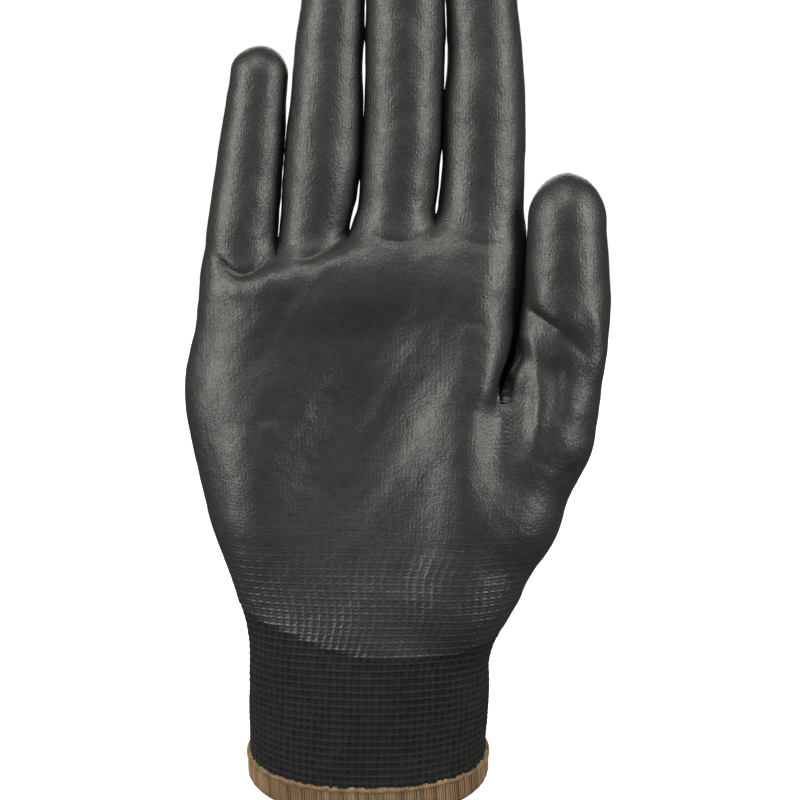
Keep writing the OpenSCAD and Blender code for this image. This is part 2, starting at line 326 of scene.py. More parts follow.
# height (mm, below 0 is a valley), half width, fade at each end, points as (x, z)
FOLDS = [
    (-1.5, 1.5, 0.25, [(-42.5, 148.6), (-38.6, 144.6), (-34.4, 143.0), (-29.8, 144.9), (-25.6, 148.8)]),
    (0.9, 2.6, 0.3, [(-40, 141.4), (-34.4, 139.2), (-28, 141.6), (-23, 146)]),
    (-1.1, 1.5, 0.3, [(-21, 146.6), (-16.5, 147.6), (-11.5, 149.6), (-7, 152.4), (-4.4, 155.6)]),
    (0.7, 2.2, 0.3, [(-17, 143.5), (-10.5, 145.8), (-5, 149.4), (-1.5, 152.6)]),
    (-0.7, 1.4, 0.4, [(0, 155.5), (5, 152.6), (11, 152.2), (16, 155.2)]),
    (-0.35, 1.5, 0.4, [(22, 155), (29, 151.6), (36, 151.2), (41, 153)]),
    (-0.22, 1.3, 0.4, [(24.5, 130.6), (29, 130.0), (33.5, 129.6)]),
    (0.22, 1.8, 0.4, [(24.5, 128.4), (29, 127.8), (33.5, 127.6)]),
    (-0.2, 1.3, 0.4, [(-31, 103.4), (-27, 103.2), (-23.5, 104.4)]),
    (0.22, 1.8, 0.4, [(-31, 101.2), (-27, 101.0), (-23.5, 102)]),
    (-1.6, 2.0, 0.25, [(42.6, 127), (40.8, 120), (38.4, 115.0), (36.6, 110.0), (35.6, 103.0)]),
    (1.3, 3.0, 0.3, [(36.6, 138), (35.6, 124), (32.8, 113.5), (30.6, 105)]),
    (-0.6, 2.2, 0.3, [
        (42.6, 134.6), (45.6, 132.2), (49.6, 129.4), (53.8, 126.2), (58.4, 122.4), (61.6, 118.4)]),
    (-0.5, 1.2, 0.35, [(42.4, 135.0), (45.6, 132.2), (49.6, 129.4), (52.4, 127.4)]),
    (0.7, 2.6, 0.3, [(43.6, 138.4), (48.2, 135.6), (53.4, 131.6), (58.2, 127.0)]),
    (0.9, 1.8, 0.3, [(60.4, 136.5), (62.0, 131.5), (63.2, 125.9), (63.8, 121.5), (62.9, 116), (61.4, 107)]),
    (1.3, 1.7, 0.3, [(44.2, 133.4), (45.4, 126), (46.8, 118), (47.2, 110), (46.6, 101), (45.2, 90)]),
    (-1.0, 3.2, 0.35, [(51.0, 122), (52.0, 113), (52.0, 101)]),
]
FOLD_LINES = [(h, w, f, smooth_line(pts)) for h, w, f, pts in FOLDS]


def relief(p, n):
    """Height of folds, creases and soft unevenness at surface points p with outward directions n."""
    front = ss(-0.05, -0.45, n[..., 1])
    out = np.zeros(p.shape[:-1])
    for h, w, fade, line in FOLD_LINES:
        d, t = along(p, line)
        ends = ss(0, fade, t) * ss(1, 1 - fade, t)
        shape = 1 / (1 + (d / w) ** 2) ** 1.5 if h < 0 else np.exp(-0.5 * (d / w) ** 2)
        out += h * shape * ends * front
    # soft diagonal drapes across the palm
    x, z = p[..., 0], p[..., 2]
    u = x * 0.87 - z * 0.5
    v = x * 0.5 + z * 0.87
    q = np.stack([u, v, np.zeros_like(u)], -1)
    inside = gauss(x, z, -8, 112, 24, 24) * front
    out += (0.9 * noise(q, (8.5, 36, 10), 3) + 0.25 * noise(q, (3.6, 22, 10), 4)) * inside
    # fine stretch lines by the thumb's crotch
    bow = z + 0.10 * (x - 36) ** 2
    ripple = np.sin((bow + 0.5 * noise(p, 4.0, 13)) * 2 * math.pi / 1.3)
    out += 0.05 * ripple * gauss(x, z, 36.5, 100, 4.5, 5.5) * front
    out += 0.22 * noise(p, 9.0, 5) + 0.10 * noise(p, 3.4, 7) + 0.035 * noise(p, 1.5, 9)
    return out


# ---------------------------------------------------------------- digits in their own frames
# how far each digit leans towards the thumb's side, degrees
LEAN = {"index": 0.8, "middle": 2.6, "ring": 3.6, "little": 5.6, "thumb": 2.0}
ROW = ["little", "ring", "middle", "index"]
SEGS = {n: ("base", "mid", "tip") for n in ROW} | {"thumb": ("base", "tip")}
HINGES = {n: ("root", "mid", "end") for n in ROW} | {"thumb": ("root", "end")}


class Digit:
    """A digit's own straight axis, hinges and bending stretches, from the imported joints."""

    def __init__(self, name):
        self.name = name
        js = [joints[f"{name}_{h}_bend"] for h in HINGES[name]]
        lean = math.radians(LEAN[name])
        g = DIGITS[name]
        self.d = np.array([math.sin(lean), 0, math.cos(lean)])
        self.a = np.array(js[0]["axis"], float)
        self.b = np.cross(self.d, self.a)
        pos = [np.array(j["pos_m"], float) / MM for j in js]
        middle = np.array([float(curve(pos[0][2], g["z"], g["c"])), g["y"], pos[0][2]])
        self.o = pos[0] - self.b * ((pos[0] - middle) @ self.b)
        self.zones = []
        for i, (j, q) in enumerate(zip(js, pos)):
            h = float((q - self.o) @ self.d)
            bend = math.radians(j["range_deg"][1])
            rest = float(curve(q[2], g["z"], g["r"])) - abs(float((q - self.o) @ self.b))
            half = 0.76 * bend * rest
            start = h - half if i else h - rest * math.tan(bend / 2) - 0.4
            self.zones.append((start, start + 2 * half))
        self.top = float((g["tip"] - ROUND[name] - self.o[2]) / self.d[2])

    def centre(self, s):
        """Middle of the digit at height s along it."""
        g = DIGITS[self.name]
        s = np.asarray(s, float)
        base = self.o + s[..., None] * self.d
        c = curve(base[..., 2], g["z"], g["c"])
        out = base + ((c - base[..., 0]) / self.a[0])[..., None] * self.a
        out[..., 1] = g["y"]
        return out


DIGIT = {n: Digit(n) for n in DIGITS}


def edge_of(name, z, sign):
    """Sideways place of a digit's edge, on the thumb's side for sign 1 and the other for -1."""
    g = DIGITS[name]
    return curve(z, g["z"], g["c"]) + sign * curve(z, g["z"], g["r"])


def web_line(z):
    """Where the thumb's cloth starts beside the palm."""
    side = np.maximum(curve(z, ZS, XR), edge_of("index", z, 1) * ss(138, 150, z))
    return side - 2.4 * ss(120, 109, z)


def own(p, name):
    """One digit with the hand it grows from, kept off its neighbours."""
    f = with_digit(p, name)
    x, z = p[..., 0], p[..., 2]
    if name == "thumb":
        tuck = 0.5 * ss(112, 118, z) * ss(147, 139, z)
        return smax(f, web_line(z) - tuck + 0.02 - x, 0.4 + 1.1 * ss(115, 121, z))
    i = ROW.index(name)
    if i > 0:
        f = smax(f, (edge_of(ROW[i - 1], z, 1) + edge_of(name, z, -1)) / 2 + 0.03 - x, 0.3)
    if i < 3:
        f = smax(f, x - (edge_of(ROW[i + 1], z, -1) + edge_of(name, z, 1)) / 2 + 0.03, 0.3)
    return f


def on_rays(fn, origin, direction, far, looks=0):
    """Where rays from inside meet the surface, the first time when looked for in steps."""
    lo = np.zeros(origin.shape[:-1])
    hi = np.broadcast_to(far, lo.shape).astype(float).copy()
    done = np.zeros(lo.shape, bool)
    for i in range(looks):
        a, b = far * i / looks, far * (i + 1) / looks
        out = ~done & (fn(origin + b * direction) >= 0)
        lo[out], hi[out] = a, b
        done |= out
    for _ in range(26 if looks == 0 else 16):
        mid = (lo + hi) / 2
        inside = fn(origin + mid[..., None] * direction) < 0
        lo = np.where(inside, mid, lo)
        hi = np.where(inside, hi, mid)
    return origin + ((lo + hi) / 2)[..., None] * direction


# ---------------------------------------------------------------- meshes
def new_object(name, verts, parts, material, attributes, normals=None):
    """A mesh from points in mm and one or more arrays of faces; an attribute is a number or one per point."""
    faces = [np.asarray(f, np.int32) for f in parts if len(f)]
    me = bpy.data.meshes.new(name)
    verts = np.asarray(verts, float).reshape(-1, 3) * MM
    me.vertices.add(len(verts))
    me.vertices.foreach_set("co", verts.astype(np.float32).ravel())
    loops = np.concatenate([f.ravel() for f in faces])
    sizes = np.concatenate([np.full(len(f), f.shape[1]) for f in faces])
    me.loops.add(len(loops))
    me.loops.foreach_set("vertex_index", loops)
    me.polygons.add(len(sizes))
    me.polygons.foreach_set("loop_start", (np.cumsum(sizes) - sizes).astype(np.int32))
    me.polygons.foreach_set("use_smooth", np.ones(len(sizes), bool))
    for key, values in attributes.items():
        at = me.attributes.new(key, "FLOAT", "POINT")
        at.data.foreach_set("value", np.full(len(verts), values, np.float32))
    me.update()
    me.validate()
    if normals is not None:
        me.normals_split_custom_set_from_vertices(np.asarray(normals, np.float32).reshape(-1, 3))
    ob = bpy.data.objects.new(name, me)
    bpy.context.scene.collection.objects.link(ob)
    me.materials.append(material)
    return ob


def open_edges(parts):
    """Directed edges that only one face uses."""
    pairs = [np.stack([f, np.roll(f, -1, 1)], -1) for f in parts]
    e = np.concatenate([q[:, i] for q in pairs for i in range(q.shape[1])])
    e = e[e[:, 0] != e[:, 1]].astype(np.int64)
    top = int(e.max()) + 1
    return e[~np.isin(e[:, 0] * top + e[:, 1], e[:, 1] * top + e[:, 0])]


def close_shell(outer, inner, parts):
    """Outer and inner sheets with the same faces, joined at their open edges by quads."""
    k = len(outer)
    edge = open_edges(parts)
    rim = np.stack([edge[:, 1], edge[:, 0], edge[:, 0] + k, edge[:, 1] + k], 1)
    shell = [np.concatenate([f, f[:, ::-1] + k]) for f in parts]
    shell[0] = np.concatenate([shell[0], rim])
    return np.concatenate([outer, inner]), shell


def grid_faces(nv, nu):
    """Quads of a tube of nv rows with nu points round it."""
    i = np.arange(nv - 1)[:, None] * nu
    j = np.arange(nu)[None, :]
    k = (j + 1) % nu
    return np.stack([i + j, i + k, i + nu + k, i + nu + j], -1).reshape(-1, 4)


def keep_used(parts, *arrays):
    """The same faces on only the points that they use; each array has one row per point."""
    used = np.unique(np.concatenate([f.ravel() for f in parts]))
    remap = np.full(len(arrays[0]), -1)
    remap[used] = np.arange(len(used))
    return ([remap[f] for f in parts],) + tuple(a[used] for a in arrays)


def two(values):
    """The same values for the outer and the inner sheet."""
    return np.concatenate([values, values])


def surface_nets(fn, lo, hi, step):
    """Points and quads of the surface where fn is 0, on a grid of cubes."""
    n = [int(math.ceil((b - a) / step)) + 1 for a, b in zip(lo, hi)]
    ax = [lo[i] + step * np.arange(n[i]) for i in range(3)]
    f = np.empty(n)
    for i0 in range(0, n[0], 24):
        g = np.stack(np.meshgrid(ax[0][i0 : i0 + 24], ax[1], ax[2], indexing="ij"), -1)
        f[i0 : i0 + 24] = fn(g)
    m = f < 0
    cells = tuple(k - 1 for k in n)
    total = np.zeros(cells + (3,), np.float32)
    count = np.zeros(cells, np.float32)
    for axis in range(3):
        o1, o2 = [k for k in range(3) if k != axis]
        for c1 in (0, 1):
            for c2 in (0, 1):
                a = [slice(0, cells[0]), slice(0, cells[1]), slice(0, cells[2])]
                a[o1] = slice(c1, c1 + cells[o1])
                a[o2] = slice(c2, c2 + cells[o2])
                b = list(a)
                b[axis] = slice(1, 1 + cells[axis])
                fa, fb = f[tuple(a)], f[tuple(b)]
                cross = (fa < 0) != (fb < 0)
                t = np.where(cross, fa / np.where(cross, fa - fb, 1), 0)
                pos = np.zeros(cells + (3,), np.float32)
                pos[..., axis] = t
                pos[..., o1] = c1
                pos[..., o2] = c2
                total += pos * cross[..., None]
                count += cross
    active = count > 0
    ids = np.full(cells, -1, np.int64)
    ids[active] = np.arange(active.sum())
    base = np.stack(np.nonzero(active), 1)
    verts = np.array(lo) + step * (base + total[active] / count[active][:, None])
    faces = []
    for axis in range(3):
        o1, o2 = [(1, 2), (2, 0), (0, 1)][axis]
        a = [slice(1, cells[k]) for k in range(3)]
        a[axis] = slice(0, cells[axis])
        b = list(a)
        b[axis] = slice(1, cells[axis] + 1)
        ma, mb = m[tuple(a)], m[tuple(b)]
        for flip, hit in ((False, ma & ~mb), (True, ~ma & mb)):
            q = np.stack(np.nonzero(hit), 1)
            q[:, [k for k in range(3) if k != axis]] += 1
            quad = []
            for s1, s2 in ((0, 0), (1, 0), (1, 1), (0, 1)):
                c = q.copy()
                c[:, o1] -= 1 - s1
                c[:, o2] -= 1 - s2
                quad.append(ids[c[:, 0], c[:, 1], c[:, 2]])
            quad = np.stack(quad, 1)
            quad = quad[(quad >= 0).all(1)]
            faces.append(quad[:, ::-1] if flip else quad)
    return verts, np.concatenate(faces)


def onto(fn, verts):
    """Points moved onto the surface where fn is 0."""
    for _ in range(4):
        g, size = gradient(fn, verts)
        step = fn(verts) / np.maximum(size, 0.2)
        verts = verts - g * np.clip(step, -0.8, 0.8)[:, None]
    return verts


def trim(fn, verts, faces, over, dirs):
    """Drops faces past a plane and ends those across it on the plane."""
    faces = faces[(over[faces] <= 0).any(1)]
    (faces,), verts, over, dirs = keep_used([faces], verts, over, dirs)
    hit = over > 0
    d = dirs[hit]
    v = verts[hit] - over[hit, None] * d
    for _ in range(5):
        g, size = gradient(fn, v)
        f = fn(v) / np.maximum(size, 0.2)
        g = g - (g * d).sum(1, keepdims=True) * d
        room = np.maximum((g * g).sum(1), 0.08)
        v = v - g * np.clip(f / room, -0.5, 0.5)[:, None]
    verts = verts.copy()
    verts[hit] = v
    return verts, faces


def tangents(n):
    """Two directions along the surface for each direction out of it."""
    t = np.where(np.abs(n[..., 2:3]) < 0.9, np.array([0, 0, 1.0]), np.array([1.0, 0, 0]))
    u = np.cross(n, t)
    u /= np.linalg.norm(u, axis=-1, keepdims=True)
    return u, np.cross(n, u)


def bent_normals(fn, p, n, e=0.15):
    """Directions of the surface once fn(p, n) is added to it."""
    u, v = tangents(n)
    du = (fn(p + e * u, n) - fn(p - e * u, n)) / (2 * e)
    dv = (fn(p + e * v, n) - fn(p - e * v, n)) / (2 * e)
    m = n - u * du[..., None] - v * dv[..., None]
    return m / np.linalg.norm(m, axis=-1, keepdims=True)


def grid_normals(p):
    """Outward directions of a grid of points, rows going up and columns round."""
    n = np.cross(np.roll(p, -1, 1) - np.roll(p, 1, 1), np.gradient(p, axis=0))
    return n / np.maximum(np.linalg.norm(n, axis=-1, keepdims=True), 1e-9)


def tube_shell(outer, inner, every):
    """Closed tube from a fine outer grid and an inner grid with one column in each `every`."""
    nr, nc = outer.shape[:2]
    mr, mc = inner.shape[:2]
    quads = grid_faces(nr, nc)
    back = grid_faces(mr, mc)[:, ::-1] + nr * nc
    tris = []
    for row, low, flip in ((0, 0, False), ((nr - 1) * nc, (mr - 1) * mc, True)):
        j = np.arange(mc)
        i0 = nr * nc + low + j
        i1 = nr * nc + low + (j + 1) % mc
        o = [row + (j * every + q) % nc for q in range(every + 1)]
        for q in range(every - 1):
            tris.append(np.stack([i0, o[q + 1], o[q]] if not flip else [i0, o[q], o[q + 1]], 1))
        tris.append(np.stack([i0, i1, o[every - 1]] if not flip else [i0, o[every - 1], i1], 1))
        tris.append(np.stack([i1, o[every], o[every - 1]] if not flip else [i1, o[every - 1], o[every]], 1))
    verts = np.concatenate([outer.reshape(-1, 3), inner.reshape(-1, 3)])
    return verts, [np.concatenate([quads, back]), np.concatenate(tris)]


# ---------------------------------------------------------------- shader helpers
class Graph:
    """A material's node tree around one Principled shader, with short names for what it is built from."""

    def __init__(self, name):
        self.mat = bpy.data.materials.new(name)
        self.mat.use_nodes = True
        self.tree = self.mat.node_tree
        self.tree.nodes.clear()
        self.shader = self.tree.nodes.new("ShaderNodeBsdfPrincipled")
        out = self.tree.nodes.new("ShaderNodeOutputMaterial")
        self.tree.links.new(self.shader.outputs[0], out.inputs[0])
        coord = self.tree.nodes.new("ShaderNodeTexCoord")
        self.place = coord.outputs["Object"]

    def put(self, socket, value):
        if isinstance(value, (int, float, tuple)):
            socket.default_value = value
        else:
            self.tree.links.new(value, socket)

    def math(self, op, a, b=0.0, c=None, clamp=False):
        n = self.tree.nodes.new("ShaderNodeMath")
        n.operation = op
        n.use_clamp = clamp
        self.put(n.inputs[0], a)
        self.put(n.inputs[1], b)
        if c is not None:
            self.put(n.inputs[2], c)
        return n.outputs[0]

    def add(self, a, b, clamp=False):
        return self.math("ADD", a, b, clamp=clamp)

    def times(self, a, b):
        return self.math("MULTIPLY", a, b)

    def attr(self, name):
        n = self.tree.nodes.new("ShaderNodeAttribute")
        n.attribute_name = name
        return n.outputs["Fac"]

    def noise(self, scale, detail=2.0, rough=0.5, stretch=None):
        n = self.tree.nodes.new("ShaderNodeTexNoise")
        n.inputs["Scale"].default_value = scale
        n.inputs["Detail"].default_value = detail
        n.inputs["Roughness"].default_value = rough
        source = self.place
        if stretch:
            m = self.tree.nodes.new("ShaderNodeMapping")
            m.inputs["Scale"].default_value = stretch
            self.put(m.inputs["Vector"], source)
            source = m.outputs[0]
        self.put(n.inputs["Vector"], source)
        return n.outputs["Fac"]

    def mottle(self, scale, detail, rough, amount):
        """Noise about 0, `amount` from lowest to highest."""
        return self.math("MULTIPLY_ADD", self.noise(scale, detail, rough), amount, -amount / 2)

    def cells(self, scale):
        n = self.tree.nodes.new("ShaderNodeTexVoronoi")
        n.inputs["Scale"].default_value = scale
        self.put(n.inputs["Vector"], self.place)
        return n.outputs["Distance"]

    def ramp(self, value, lo, hi, to_lo=0.0, to_hi=1.0):
        n = self.tree.nodes.new("ShaderNodeMapRange")
        n.clamp = True
        for i, v in enumerate((value, lo, hi, to_lo, to_hi)):
            self.put(n.inputs[i], v)
        return n.outputs[0]

    def mix(self, fac, a, b):
        n = self.tree.nodes.new("ShaderNodeMix")
        n.data_type = "RGBA"
        self.put(n.inputs["Factor"], fac)
        self.put(n.inputs["A"], a)
        self.put(n.inputs["B"], b)
        return n.outputs["Result"]

    def bump(self, height, distance, strength=1.0, normal=None):
        n = self.tree.nodes.new("ShaderNodeBump")
        n.inputs["Strength"].default_value = strength
        n.inputs["Distance"].default_value = distance
        self.put(n.inputs["Height"], height)
        if normal is not None:
            self.put(n.inputs["Normal"], normal)
        return n.outputs[0]

    def wave(self, turns):
        """1 at whole numbers, 0 halfway between."""
        c = self.math("COSINE", self.times(turns, 2 * math.pi))
        return self.math("MULTIPLY_ADD", c, 0.5, 0.5)

    def stitches(self):
        """(holes, course lines) of the knit, from the wale and course counts on the mesh."""
        wale, course = self.wave(self.attr("ku")), self.wave(self.attr("kw"))
        pair = self.wave(self.times(self.attr("kw"), 2.0))
        across = self.math("POWER", self.math("SUBTRACT", 1.0, wale), 2.0)
        hole = self.times(across, self.math("POWER", self.math("SUBTRACT", 1.0, pair), 2.0))
        return hole, self.math("POWER", course, 5.0)


def rgb(r, g, b):
    return (r, g, b, 1.0)


def knit_material():
    """Black yarn: holes with painted shade and course lines with painted highlight, fuzzy fibres, uneven dye.
    """
    g = Graph("liner_knit")
    hole, line = g.stitches()
    # the stitches as bumps and as colour: painted highlight on the course lines, painted shade in the holes
    stitch_relief_and_painted_light = g.times(g.math("SUBTRACT", line, hole), g.attr("kamt"))
    tone = g.add(g.attr("thread"), g.times(stitch_relief_and_painted_light, 0.45))
    tone = g.add(tone, g.mottle(1400, 3, 0.7, 0.9))
    tone = g.add(tone, g.mottle(70, 3, 0.6, 0.5), clamp=True)
    inputs = g.shader.inputs
    g.put(inputs["Base Color"], g.mix(tone, rgb(0.0004, 0.0004, 0.0004), rgb(0.0155, 0.0155, 0.0148)))
    inputs["Roughness"].default_value = 0.82
    inputs["Specular IOR Level"].default_value = 0.22
    inputs["Sheen Weight"].default_value = 0.03
    inputs["Sheen Roughness"].default_value = 0.5
    inputs["Sheen Tint"].default_value = rgb(0.8, 0.82, 0.85)
    knitted = g.bump(stitch_relief_and_painted_light, 0.0004)
    g.put(inputs["Normal"], g.bump(g.noise(2600, 3, 0.65), 0.00012, 0.8, knitted))
    return g.mat


def film_material():
    """Black soft polymer: fine grain, cloudy sheen, and the knit's print where it shows through, as bumps and
    as painted highlight and painted shade; the lower palm is painted lighter as painted light.
    """
    g = Graph("palm_film")
    hole, line = g.stitches()
    show = g.attr("kamt")
    # painted light: the lower palm, where the knit shows, is painted lighter
    tone = g.math("MULTIPLY_ADD", g.noise(38, 4, 0.6), 0.7, g.math("MULTIPLY_ADD", show, 0.3, 0.1))
    # painted highlight on the knit's course lines and painted shade in its holes, where they print through
    tone = g.add(tone, g.times(g.math("SUBTRACT", line, hole), g.times(show, 0.6)))
    tone = g.add(tone, g.mottle(700, 3, 0.7, 0.5), clamp=True)
    inputs = g.shader.inputs
    g.put(inputs["Base Color"], g.mix(tone, rgb(0.0105, 0.0109, 0.0104), rgb(0.0245, 0.0252, 0.024)))
    rough = g.math("MULTIPLY_ADD", g.noise(26, 3, 0.6), 0.16, 0.365)
    g.put(inputs["Roughness"], g.add(rough, g.mottle(420, 3, 0.6, 0.14)))
    g.put(inputs["Specular IOR Level"], g.ramp(g.noise(1700, 2, 0.6), 0.34, 0.66, 0.41, 0.57))
    grain = g.math("MULTIPLY_ADD", g.noise(1350, 2, 0.6), 1.7, g.times(g.cells(1500), 0.5))
    ribs = g.wave(g.times(g.attr("ku"), 2.0))
    wales = g.math("POWER", g.wave(g.attr("ku")), 5.0)
    printed = g.add(g.times(line, 0.45), g.times(wales, 0.55))
    height = g.add(g.times(ribs, 0.14), grain)
    height = g.add(height, g.times(g.math("SUBTRACT", printed, hole), g.times(show, 0.5)))
    g.put(inputs["Normal"], g.bump(height, 0.000075))
    return g.mat


def thread_material(name, dark, light, rough):
    """Twisted thread, from dark to light by each thread's own tone."""
    g = Graph(name)
    tone = g.add(g.attr("thread"), g.mottle(900, 3, 0.7, 0.7), clamp=True)
    inputs = g.shader.inputs
    g.put(inputs["Base Color"], g.mix(tone, dark, light))
    inputs["Roughness"].default_value = rough
    inputs["Sheen Weight"].default_value = 0.15
    g.put(inputs["Normal"], g.bump(g.noise(5200, 2, 0.6, (1, 1, 0.3)), 0.00009, 0.8))
    return g.mat


KNIT_MAT = knit_material()
FILM_MAT = film_material()
HEM_MAT = thread_material("hem_thread", rgb(0.085, 0.048, 0.02), rgb(0.27, 0.165, 0.072), 0.7)
ELASTIC_MAT = thread_material("elastic", rgb(0.45, 0.45, 0.43), rgb(0.7, 0.7, 0.67), 0.6)


# ---------------------------------------------------------------- cuff, wrist and lower hand
WALES = 90  # columns of stitches round the cuff
PER = 6  # mesh columns in each
COLS = WALES * PER
COARSE = 1.5  # rows this far apart are found on the surface, and the rest between them, mm


def stitch(ku, kw):
    """The knit at wale ku and course kw: height in mm, lightness with painted shade in the holes and painted
    highlight on the ridges and ribs, and the height that shows through film.
    """
    fu = ku - np.floor(ku) - 0.5
    fw = kw - np.floor(kw)
    hole = np.exp(-0.5 * (fu / 0.19) ** 2)
    hole = hole * (np.exp(-0.5 * ((fw - 0.32) / 0.1) ** 2) + np.exp(-0.5 * ((fw - 0.7) / 0.1) ** 2))
    ridge = np.exp(-0.5 * (np.minimum(fw, 1 - fw) / 0.085) ** 2)
    rib = np.exp(-0.5 * ((0.5 - np.abs(fu)) / 0.12) ** 2)
    # painted highlight on the course ridges and wale ribs, painted shade in the holes
    tone = 0.36 + 0.48 * ridge + 0.14 * rib - 0.36 * hole
    return -0.32 * hole + 0.11 * ridge + 0.06 * rib, tone, -0.22 * hole + 0.035 * ridge + 0.045 * rib


def row_slope(w):
    """How steeply the row at height w leans with the cuff's opening; rows above 25 mm are level."""
    return TILT * np.clip(1 - w / 25, 0, 1.3)


def section_rows(w):
    """Points on the hand's surface for each row height w, equally spaced round it."""
    turn = np.linspace(0.5 * math.pi, 2.5 * math.pi, 361)
    out = np.empty((len(w), COLS, 3))
    x0 = 4.0 * ss(30, 70, w)
    direction = np.stack([np.cos(turn), np.sin(turn), np.zeros_like(turn)], -1)
    slope = row_slope(w)
    for i in range(len(w)):
        origin = np.zeros((len(turn), 3))
        origin[:, 0] = x0[i]
        origin[:, 2] = w[i]
        for _ in range(3 if slope[i] > 0 else 1):
            hit = on_rays(body_part, origin, direction, 62.0)
            if slope[i] > 0:
                origin[:, 2] = w[i] + hit[:, 1] * slope[i]
        step = np.linalg.norm(np.diff(hit[:, :2], axis=0), axis=1)
        s = np.concatenate([[0], np.cumsum(step)])
        want = np.linspace(0, s[-1], COLS + 1)[:-1]
        for k in range(3):
            out[i, :, k] = np.interp(want, s, hit[:, k])
    return out


def lower_rows():
    """Row heights up to the seam, and the rows' points."""
    w = np.concatenate([
        np.arange(0.4, CUFF_TOP, 0.25),
        np.arange(CUFF_TOP, WRIST_TOP, 0.2511111),
        np.arange(WRIST_TOP, SEAM + 1.3, 0.25),
    ])
    coarse = np.arange(0, 72.01, COARSE)
    rows = section_rows(coarse)
    m = np.gradient(rows, COARSE, axis=0)
    i = np.clip((w / COARSE).astype(int), 0, len(coarse) - 2)
    t = ((w - coarse[i]) / COARSE)[:, None, None]
    return w, hermite(t, COARSE, rows[i], rows[i + 1], m[i], m[i + 1])


W, BASE = lower_rows()
BASE_N, _ = gradient(body_part, BASE)
KU = np.broadcast_to(np.arange(COLS) / PER, BASE.shape[:2])
FRONT_Z = W - BF[0] * row_slope(W)
KW = np.broadcast_to((FRONT_Z / COURSE)[:, None], BASE.shape[:2])
RELIEF = relief(BASE, BASE_N)
# the stitches' lightness is painted shade and painted highlight; random tone is added to it below
HEIGHT, PAINTED_STITCH_LIGHT_AND_TONE, SHOWS = stitch(KU + 0.05 * noise(BASE, 9.0, 21), KW + 0.07 * noise(BASE, 11.0, 22))
LIVELY = 1 + 0.35 * noise(BASE, 1.6, 23)
HEIGHT, SHOWS = HEIGHT * LIVELY, SHOWS * LIVELY
PAINTED_STITCH_LIGHT_AND_TONE = np.clip(PAINTED_STITCH_LIGHT_AND_TONE + 0.18 * noise(BASE, 1.3, 24) + 0.12 * noise(BASE, 14.0, 25), 0, 1)
ZB = BASE[..., 2]
SINK = -COAT * ss(20, 36, W)[:, None]  # the knit drops by the film's thickness
GEO = 1 - ss(60, SEAM, ZB)  # how much of the knit is real relief


def edge_height(x):
    """Height of the film's lower edge, lowest at x = 12."""
    return 36.6 + np.where(x < 12, 12.5, 18) * ((x - 12) / 48) ** 2


def film_mask(p):
    """Distance in mm inside the edge of the coating, below 0 outside it."""
    x, y, z = p[..., 0], p[..., 1], p[..., 2]
    wobble = 0.55 * noise(p, 11.0, 31) + 0.22 * noise(p, 3.5, 32)
    side = 5.5 - 4.3 * ss(44, 53, x) * ss(84, 104, z)
    return np.minimum(side + wobble - y, (z - edge_height(x)) * 0.95 + wobble)


def film_heights(m):
    """Outer and inner offset of the coating from the hand's surface."""
    return -0.37 + 0.37 * ss(-0.2, 1.1, m), -0.42 + 0.13 * ss(-0.2, 0.5, m)


def rows_of(lo, hi):
    """The rows at two heights."""
    return int(np.searchsorted(W, lo - 1e-6)), int(np.searchsorted(W, hi - 1e-6))


LINER = BASE + BASE_N * (SINK + RELIEF + HEIGHT * GEO)[..., None]
LINER_N = grid_normals(LINER)


def lower_piece(name, lo, hi):
    """A tube of knit from height lo to hi, stitched outside and plain inside."""
    a, b = rows_of(lo, hi)
    outer, normals = LINER[a : b + 1], LINER_N[a : b + 1]
    pick = np.unique(np.concatenate([np.arange(a, b + 1, 4), [b]]))
    flat = BASE[pick][:, ::3]
    dirs = BASE_N[pick][:, ::3]
    lift = (SINK + RELIEF)[pick][:, ::3]
    inner = flat + dirs * (lift - KNIT)[..., None]
    verts, parts = tube_shell(outer, inner, 3)
    plain = np.ones(inner.shape[0] * inner.shape[1])
    attributes = {
        "ku": np.concatenate([KU[a : b + 1].ravel(), KU[pick][:, ::3].ravel()]),
        "kw": np.concatenate([KW[a : b + 1].ravel(), KW[pick][:, ::3].ravel()]),
        # kamt: stitches drawn by the material, with painted shade in the holes and painted highlight on the
        # course lines
        "kamt": np.concatenate([(1 - GEO[a : b + 1]).ravel() * 0.9, 0.7 * plain]),
        # thread: the stitches' painted shade and highlight plus random tone where the knit is real relief, a
        # plain tone above
        "thread": np.concatenate([(PAINTED_STITCH_LIGHT_AND_TONE * GEO + 0.38 * (1 - GEO))[a : b + 1].ravel(), 0.4 * plain]),
    }
    all_n = np.concatenate([normals.reshape(-1, 3), -dirs.reshape(-1, 3)])
    return new_object(name, verts, parts, KNIT_MAT, attributes, all_n)


cuff = lower_piece("cuff_knit_cloth", W[0], CUFF_TOP)
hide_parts("cuff_knit")
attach(cuff, "cuff")
wrist = lower_piece("wrist_knit_cloth", CUFF_TOP, WRIST_TOP)
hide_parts("wrist_knit")
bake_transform(wrist)
band = lower_piece("hand_knit_low", WRIST_TOP, SEAM)
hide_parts("hand_liner")
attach(band, "hand")


def masked(faces, mask, least):
    """Faces with a corner inside the film's edge."""
    return faces[(mask[faces] > least).any(1)]


